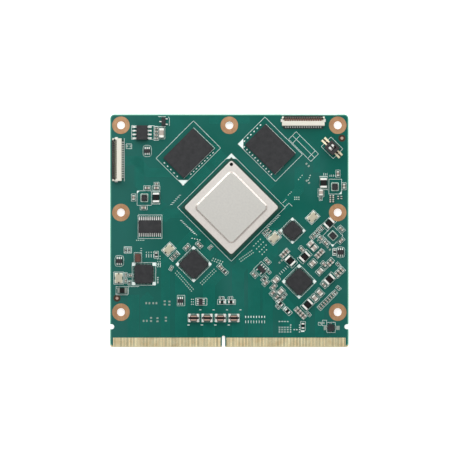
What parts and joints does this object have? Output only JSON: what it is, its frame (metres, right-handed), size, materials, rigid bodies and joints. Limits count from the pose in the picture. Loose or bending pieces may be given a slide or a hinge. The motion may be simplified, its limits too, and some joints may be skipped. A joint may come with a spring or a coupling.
{
  "type": "system on module",
  "caption": "Card-edge computer module: a green board with a lidded processor, memory, coils, crystals, two locking cable sockets and a small slide switch.",
  "frame": {"origin": "centre of the board's outline, on the plane that the underside parts rest on", "axes": "+Z out of the component side, +X along the card edge, +Y from the card edge to the far edge"},
  "size_m": [0.082, 0.08, 0.0049],
  "materials": {
    "solder_mask": "satin green solder mask over glass-fibre laminate",
    "copper": "bare rolled copper, satin",
    "gold_contact": "gold-plated edge contact, satin",
    "tin": "tinned metal, satin",
    "solder": "solder, satin",
    "lid_metal": "nickel-plated lid, blasted matt",
    "substrate_laminate": "dark green package laminate",
    "silicon": "polished silicon",
    "mould_compound": "matt dark moulding compound",
    "ferrite": "pressed ferrite, satin",
    "enamelled_wire": "enamelled copper wire",
    "crystal_ceramic": "brown ceramic tray",
    "crystal_lid": "pale metal lid, satin",
    "capacitor_ceramic": "tan ceramic between tinned ends",
    "resistor_glass": "black glass film between tinned ends",
    "socket_plastic": "cream moulded plastic",
    "flap_plastic": "dark brown moulded plastic",
    "switch_plastic": "black moulded plastic",
    "slide_plastic": "white moulded plastic"
  },
  "bodies": {
    "module": {"board": "solder_mask", "hole_sleeves": "copper", "top_contacts": "gold_contact", "bottom_contacts": "gold_contact", "fiducial_marks": "copper", "processor_substrate": "substrate_laminate", "processor_die": "silicon", "processor_lid": "lid_metal", "processor_balls": "solder", "left_memory": "mould_compound", "right_memory": "mould_compound", "memory_balls": "solder", "flash_package": "mould_compound", "flash_balls": "solder", "eight_lead_body": "mould_compound", "eight_lead_leads": "tin", "wide_chip_body": "mould_compound", "wide_chip_leads": "tin", "small_chip_bodies": "mould_compound", "small_chip_leads": "tin", "centre_flat_package": "mould_compound", "left_flat_package": "mould_compound", "lower_flat_package": "mould_compound", "right_flat_package": "mould_compound", "corner_flat_package": "mould_compound", "flat_package_terminals": "solder", "flat_package_slugs": "solder", "converter_bodies": "mould_compound", "converter_terminals": "solder", "inductor_cores": "ferrite", "inductor_terminals": "tin", "choke_cores": "ferrite", "choke_windings": "enamelled_wire", "choke_terminals": "tin", "crystal_bases": "crystal_ceramic", "crystal_lids": "crystal_lid", "small_capacitors": "capacitor_ceramic", "medium_capacitors": "capacitor_ceramic", "large_capacitors": "capacitor_ceramic", "small_resistors": "resistor_glass", "medium_resistors": "resistor_glass", "diodes": "mould_compound", "ferrite_bead": "ferrite", "underside_capacitors": "capacitor_ceramic", "side_socket_housing": "socket_plastic", "side_socket_contacts": "tin", "side_socket_anchors": "tin", "top_socket_housing": "socket_plastic", "top_socket_contacts": "tin", "top_socket_anchors": "tin", "switch_base": "switch_plastic", "switch_cover": "switch_plastic", "switch_leads": "tin"},
    "side_flap": {"side_socket_flap": "flap_plastic"},
    "top_flap": {"top_socket_flap": "flap_plastic"},
    "first_slide": {"switch_slide_1": "slide_plastic", "switch_bridge_1": "gold_contact"},
    "second_slide": {"switch_slide_2": "slide_plastic", "switch_bridge_2": "gold_contact"}
  },
  "joints": [
    {"name": "side_flap_hinge", "type": "hinge", "parent": "module", "child": "side_flap", "pos_m": [-0.0394, 0.0244, 0.00353], "axis": [0, 1, 0], "range_deg": [0, 90]},
    {"name": "top_flap_hinge", "type": "hinge", "parent": "module", "child": "top_flap", "pos_m": [0.0254, 0.0384, 0.00353], "axis": [1, 0, 0], "range_deg": [0, 90]},
    {"name": "first_slide_travel", "type": "slide", "parent": "module", "child": "first_slide", "axis": [0.7071, -0.7071, 0], "range_m": [0, 0.0008]},
    {"name": "second_slide_travel", "type": "slide", "parent": "module", "child": "second_slide", "axis": [0.7071, -0.7071, 0], "range_m": [0, 0.0008]}
  ]
}
